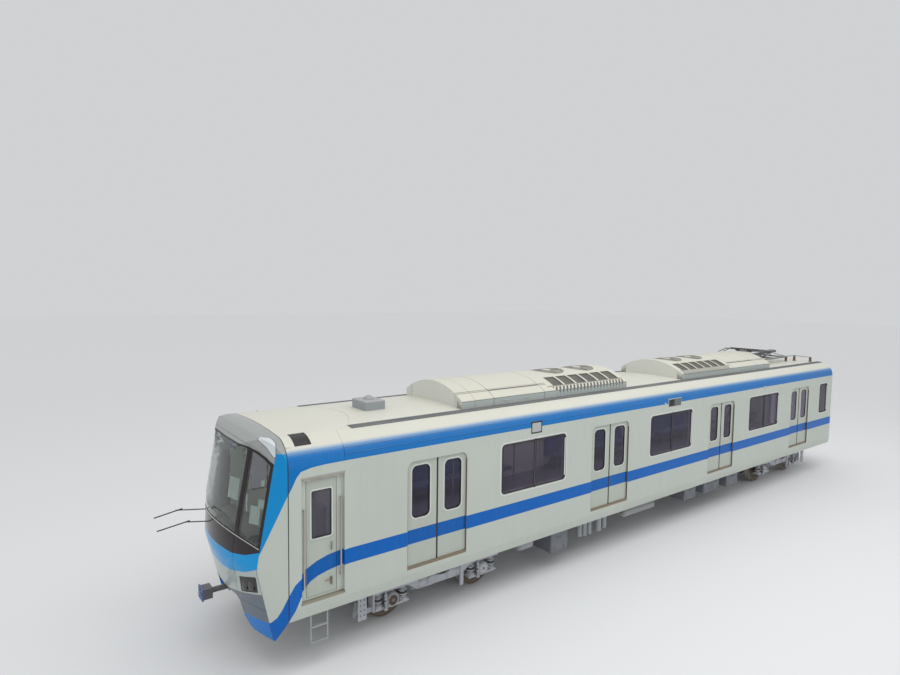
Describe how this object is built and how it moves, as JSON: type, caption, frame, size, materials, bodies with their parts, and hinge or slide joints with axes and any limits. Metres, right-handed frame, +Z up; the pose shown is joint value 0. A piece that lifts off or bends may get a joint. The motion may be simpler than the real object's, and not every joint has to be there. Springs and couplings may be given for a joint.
{
  "type": "metro car",
  "caption": "Leading metro car with a raked moulded cab nose, sliding twin-leaf doors, roof air conditioning, pantograph and two bogies on flanged wheels.",
  "frame": {"origin": "middle of the overall length, on the centre line, at the tips of the wheel flanges", "axes": "+X forward towards the cab nose, +Y to the driver's left, +Z up"},
  "size_m": [21.4584, 2.95, 4.2062],
  "materials": {
    "body_panel": "satin paint, light grey white with blue bands",
    "roof_panel": "matt paint, cream white",
    "nose_panel": "gloss paint on moulded resin",
    "glass": "tinted",
    "clear_glass": "lightly tinted",
    "door_panel": "satin paint",
    "lining": "moulded lining",
    "floor_panel": "rubber flooring on aluminium",
    "bogie_steel": "grey blue paint",
    "wheel_steel": "machined steel, brown film off the tread",
    "case_panel": "grey paint",
    "tank_steel": "grey paint",
    "aircon_panel": "matt paint, cream white",
    "strip_panel": "ribbed non-slip strip",
    "coupler_steel": "cast steel, painted",
    "bellows_rubber": "matt",
    "seat_shell": "moulded",
    "bright_steel": "brushed stainless",
    "desk_plastic": "matt",
    "black_steel": "satin black",
    "lamp_lens": "smoked lens",
    "panto_steel": "grey paint",
    "sill_plate": "grooved tread plate, brown with dust",
    "window_frame": "anodised aluminium"
  },
  "bodies": {
    "car_body": {"side_wall_left": "body_panel", "side_wall_right": "body_panel", "roof": "roof_panel", "floor": "floor_panel", "door_sills": "sill_plate", "side_linings": "lining", "window_frames": "window_frame", "end_wall": "body_panel", "cab_bulkhead": "lining", "nose": "nose_panel", "windscreen": "clear_glass", "side_glass": "glass", "bolsters": "case_panel", "cab_floor": "floor_panel", "driver_desk": "desk_plastic", "driver_seat": "desk_plastic", "headlamps": "lamp_lens", "wipers": "black_steel", "cab_steps": "tank_steel", "cab_rails": "bright_steel", "seats": "seat_shell", "grab_poles": "bright_steel", "equipment_cases": "case_panel", "air_tanks": "tank_steel", "roof_strips": "strip_panel", "antenna": "case_panel", "coupler": "coupler_steel", "drawbar": "coupler_steel", "gangway": "bellows_rubber", "pantograph_base": "panto_steel", "aircon_front": "aircon_panel", "aircon_rear": "aircon_panel"},
    "cab_door_left": {"cab_door_left": "door_panel"},
    "cab_door_right": {"cab_door_right": "door_panel"},
    "bulkhead_door": {"bulkhead_door": "lining"},
    "pantograph_lower": {"pantograph_lower": "panto_steel"},
    "pantograph_upper": {"pantograph_upper": "panto_steel"},
    "pantograph_head": {"pantograph_head": "panto_steel"},
    "bogie_front": {"bogie_front": "bogie_steel"},
    "bogie_rear": {"bogie_rear": "bogie_steel"},
    "wheelset_1": {"wheelset_1": "wheel_steel"},
    "door_1_left_front": {"door_1_left_front": "door_panel"},
    "door_1_left_rear": {"door_1_left_rear": "door_panel"},
    "door_1_right_front": {"door_1_right_front": "door_panel"},
    "door_1_right_rear": {"door_1_right_rear": "door_panel"},
    "wheelset_2": {"wheelset_2": "wheel_steel"},
    "door_2_left_front": {"door_2_left_front": "door_panel"},
    "door_2_left_rear": {"door_2_left_rear": "door_panel"},
    "door_2_right_front": {"door_2_right_front": "door_panel"},
    "door_2_right_rear": {"door_2_right_rear": "door_panel"},
    "wheelset_3": {"wheelset_3": "wheel_steel"},
    "door_3_left_front": {"door_3_left_front": "door_panel"},
    "door_3_left_rear": {"door_3_left_rear": "door_panel"},
    "door_3_right_front": {"door_3_right_front": "door_panel"},
    "door_3_right_rear": {"door_3_right_rear": "door_panel"},
    "wheelset_4": {"wheelset_4": "wheel_steel"},
    "door_4_left_front": {"door_4_left_front": "door_panel"},
    "door_4_left_rear": {"door_4_left_rear": "door_panel"},
    "door_4_right_front": {"door_4_right_front": "door_panel"},
    "door_4_right_rear": {"door_4_right_rear": "door_panel"}
  },
  "joints": [
    {"name": "front_bogie_yaw", "type": "hinge", "parent": "car_body", "child": "bogie_front", "pos_m": [6.1215, 0, 0.728], "axis": [0, 0, 1], "range_deg": [-4, 4]},
    {"name": "axle_1_spin", "type": "hinge", "parent": "bogie_front", "child": "wheelset_1", "pos_m": [7.1715, 0, 0.458], "axis": [0, 1, 0], "continuous": true},
    {"name": "axle_2_spin", "type": "hinge", "parent": "bogie_front", "child": "wheelset_2", "pos_m": [5.0715, 0, 0.458], "axis": [0, 1, 0], "continuous": true},
    {"name": "rear_bogie_yaw", "type": "hinge", "parent": "car_body", "child": "bogie_rear", "pos_m": [-7.6785, 0, 0.728], "axis": [0, 0, 1], "range_deg": [-4, 4]},
    {"name": "axle_3_spin", "type": "hinge", "parent": "bogie_rear", "child": "wheelset_3", "pos_m": [-6.6285, 0, 0.458], "axis": [0, 1, 0], "continuous": true},
    {"name": "axle_4_spin", "type": "hinge", "parent": "bogie_rear", "child": "wheelset_4", "pos_m": [-8.7285, 0, 0.458], "axis": [0, 1, 0], "continuous": true},
    {"name": "door_1_left_open", "type": "slide", "parent": "car_body", "child": "door_1_left_front", "axis": [1, 0, 0], "range_m": [0, 0.63]},
    {"name": "door_1_left_follow", "type": "slide", "parent": "car_body", "child": "door_1_left_rear", "axis": [-1, 0, 0], "range_m": [0, 0.63]},
    {"name": "door_1_right_open", "type": "slide", "parent": "car_body", "child": "door_1_right_front", "axis": [1, 0, 0], "range_m": [0, 0.63]},
    {"name": "door_1_right_follow", "type": "slide", "parent": "car_body", "child": "door_1_right_rear", "axis": [-1, 0, 0], "range_m": [0, 0.63]},
    {"name": "door_2_left_open", "type": "slide", "parent": "car_body", "child": "door_2_left_front", "axis": [1, 0, 0], "range_m": [0, 0.63]},
    {"name": "door_2_left_follow", "type": "slide", "parent": "car_body", "child": "door_2_left_rear", "axis": [-1, 0, 0], "range_m": [0, 0.63]},
    {"name": "door_2_right_open", "type": "slide", "parent": "car_body", "child": "door_2_right_front", "axis": [1, 0, 0], "range_m": [0, 0.63]},
    {"name": "door_2_right_follow", "type": "slide", "parent": "car_body", "child": "door_2_right_rear", "axis": [-1, 0, 0], "range_m": [0, 0.63]},
    {"name": "door_3_left_open", "type": "slide", "parent": "car_body", "child": "door_3_left_front", "axis": [1, 0, 0], "range_m": [0, 0.63]},
    {"name": "door_3_left_follow", "type": "slide", "parent": "car_body", "child": "door_3_left_rear", "axis": [-1, 0, 0], "range_m": [0, 0.63]},
    {"name": "door_3_right_open", "type": "slide", "parent": "car_body", "child": "door_3_right_front", "axis": [1, 0, 0], "range_m": [0, 0.63]},
    {"name": "door_3_right_follow", "type": "slide", "parent": "car_body", "child": "door_3_right_rear", "axis": [-1, 0, 0], "range_m": [0, 0.63]},
    {"name": "door_4_left_open", "type": "slide", "parent": "car_body", "child": "door_4_left_front", "axis": [1, 0, 0], "range_m": [0, 0.63]},
    {"name": "door_4_left_follow", "type": "slide", "parent": "car_body", "child": "door_4_left_rear", "axis": [-1, 0, 0], "range_m": [0, 0.63]},
    {"name": "door_4_right_open", "type": "slide", "parent": "car_body", "child": "door_4_right_front", "axis": [1, 0, 0], "range_m": [0, 0.63]},
    {"name": "door_4_right_follow", "type": "slide", "parent": "car_body", "child": "door_4_right_rear", "axis": [-1, 0, 0], "range_m": [0, 0.63]},
    {"name": "cab_door_left_swing", "type": "hinge", "parent": "car_body", "child": "cab_door_left", "pos_m": [8.9265, 1.355, 2.028], "axis": [0, 0, 1], "range_deg": [0, 90]},
    {"name": "cab_door_right_swing", "type": "hinge", "parent": "car_body", "child": "cab_door_right", "pos_m": [8.9265, -1.355, 2.028], "axis": [0, 0, -1], "range_deg": [0, 90]},
    {"name": "bulkhead_door_swing", "type": "hinge", "parent": "car_body", "child": "bulkhead_door", "pos_m": [7.9615, -0.921, 2.028], "axis": [0, 0, -1], "range_deg": [0, 90]},
    {"name": "pantograph_raise", "type": "hinge", "parent": "car_body", "child": "pantograph_lower", "pos_m": [-7.5285, 0, 3.95763], "axis": [0, 1, 0], "range_deg": [0, 40]},
    {"name": "pantograph_knee", "type": "hinge", "parent": "pantograph_lower", "child": "pantograph_upper", "pos_m": [-9.17624, 0, 4.04398], "axis": [0, 1, 0], "range_deg": [-80, 0]},
    {"name": "pantograph_apex", "type": "hinge", "parent": "pantograph_upper", "child": "pantograph_head", "pos_m": [-7.17814, 0, 4.13122], "axis": [0, 1, 0], "range_deg": [0, 40]}
  ],
  "couplings": [
    {"joint": "door_1_left_follow", "follows": "door_1_left_open", "ratio": 1},
    {"joint": "door_1_right_follow", "follows": "door_1_right_open", "ratio": 1},
    {"joint": "door_2_left_follow", "follows": "door_2_left_open", "ratio": 1},
    {"joint": "door_2_right_follow", "follows": "door_2_right_open", "ratio": 1},
    {"joint": "door_3_left_follow", "follows": "door_3_left_open", "ratio": 1},
    {"joint": "door_3_right_follow", "follows": "door_3_right_open", "ratio": 1},
    {"joint": "door_4_left_follow", "follows": "door_4_left_open", "ratio": 1},
    {"joint": "door_4_right_follow", "follows": "door_4_right_open", "ratio": 1},
    {"joint": "pantograph_knee", "follows": "pantograph_raise", "ratio": -2},
    {"joint": "pantograph_apex", "follows": "pantograph_raise", "ratio": 1}
  ]
}
